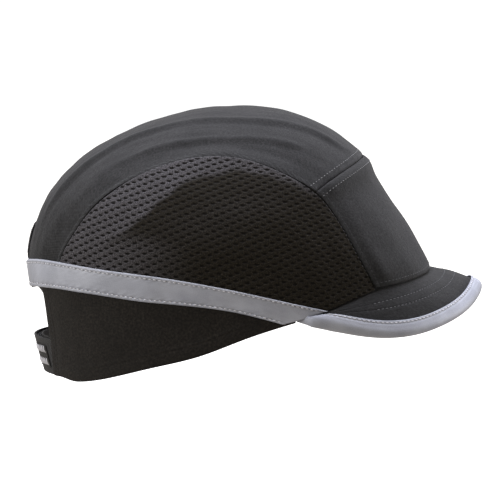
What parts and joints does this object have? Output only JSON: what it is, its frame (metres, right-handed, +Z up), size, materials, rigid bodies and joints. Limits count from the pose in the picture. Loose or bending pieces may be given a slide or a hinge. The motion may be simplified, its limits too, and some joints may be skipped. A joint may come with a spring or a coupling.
{
  "type": "bump cap",
  "caption": "Short-brimmed bump cap: textile cover with mesh sides, reflective tape and rear hook-and-loop strap over a removable padded hard shell.",
  "frame": {"origin": "middle of the head opening at headband level, the point where the wearer's head holds the cap", "axes": "+X to the wearer's front, where the brim is; +Y to the wearer's left; +Z up, with the cap in its worn attitude"},
  "size_m": [0.2546, 0.179, 0.1477],
  "materials": {
    "black_twill": "dark cotton twill with a soft sheen",
    "black_netting": "knitted spacer mesh with rows of small holes",
    "grey_reflective": "retroreflective fabric, matt silver grey",
    "black_ribbon": "narrow woven tape",
    "black_sweatband": "towelling",
    "brim_board": "stiff sheet, matt",
    "black_webbing": "woven strap",
    "hook_tape": "moulded hooks on a woven back",
    "loop_tape": "brushed loops",
    "label_weave": "woven label with a plain light pattern",
    "shell_plastic": "moulded, satin",
    "foam": "closed-cell foam, matt"
  },
  "bodies": {
    "cover": {"top_panel": "black_twill", "front_panel": "black_twill", "mesh_panel_right": "black_netting", "mesh_panel_left": "black_netting", "lower_panel_right": "black_twill", "lower_panel_left": "black_twill", "reflective_tape": "grey_reflective", "rear_patch": "black_twill", "arch_seam_tape_right": "black_ribbon", "arch_seam_tape_left": "black_ribbon", "front_seam_tape": "black_ribbon", "opening_binding": "black_ribbon", "sweatband": "black_sweatband", "brim_board": "brim_board", "brim_top_cover": "black_twill", "brim_under_cover": "black_twill", "brim_binding": "grey_reflective", "strap_inner_half": "black_webbing", "loop_patch": "loop_tape"},
    "strap_outer": {"strap_outer_half": "black_webbing", "hook_patch": "hook_tape", "strap_label": "label_weave"},
    "strap_end": {"strap_tab": "black_webbing", "tab_hook_patch": "hook_tape"},
    "insert": {"hard_shell": "shell_plastic", "crown_pad": "foam", "front_pad": "foam", "rear_pad": "foam", "side_pad_right": "foam", "side_pad_left": "foam"}
  },
  "joints": [
    {"name": "shell_out", "type": "slide", "parent": "cover", "child": "insert", "axis": [0.309, 0, -0.9511], "range_m": [0, 0.15]},
    {"name": "strap_adjust", "type": "hinge", "parent": "cover", "child": "strap_outer", "pos_m": [-0.0482, 0, -0.0172], "axis": [0, 0, 1], "range_deg": [-10, 6]},
    {"name": "tab_peel", "type": "hinge", "parent": "strap_outer", "child": "strap_end", "pos_m": [-0.10575, 0.00635, -0.0172], "axis": [-0.2591, 0.0286, 0.9654], "range_deg": [0, 80]}
  ]
}
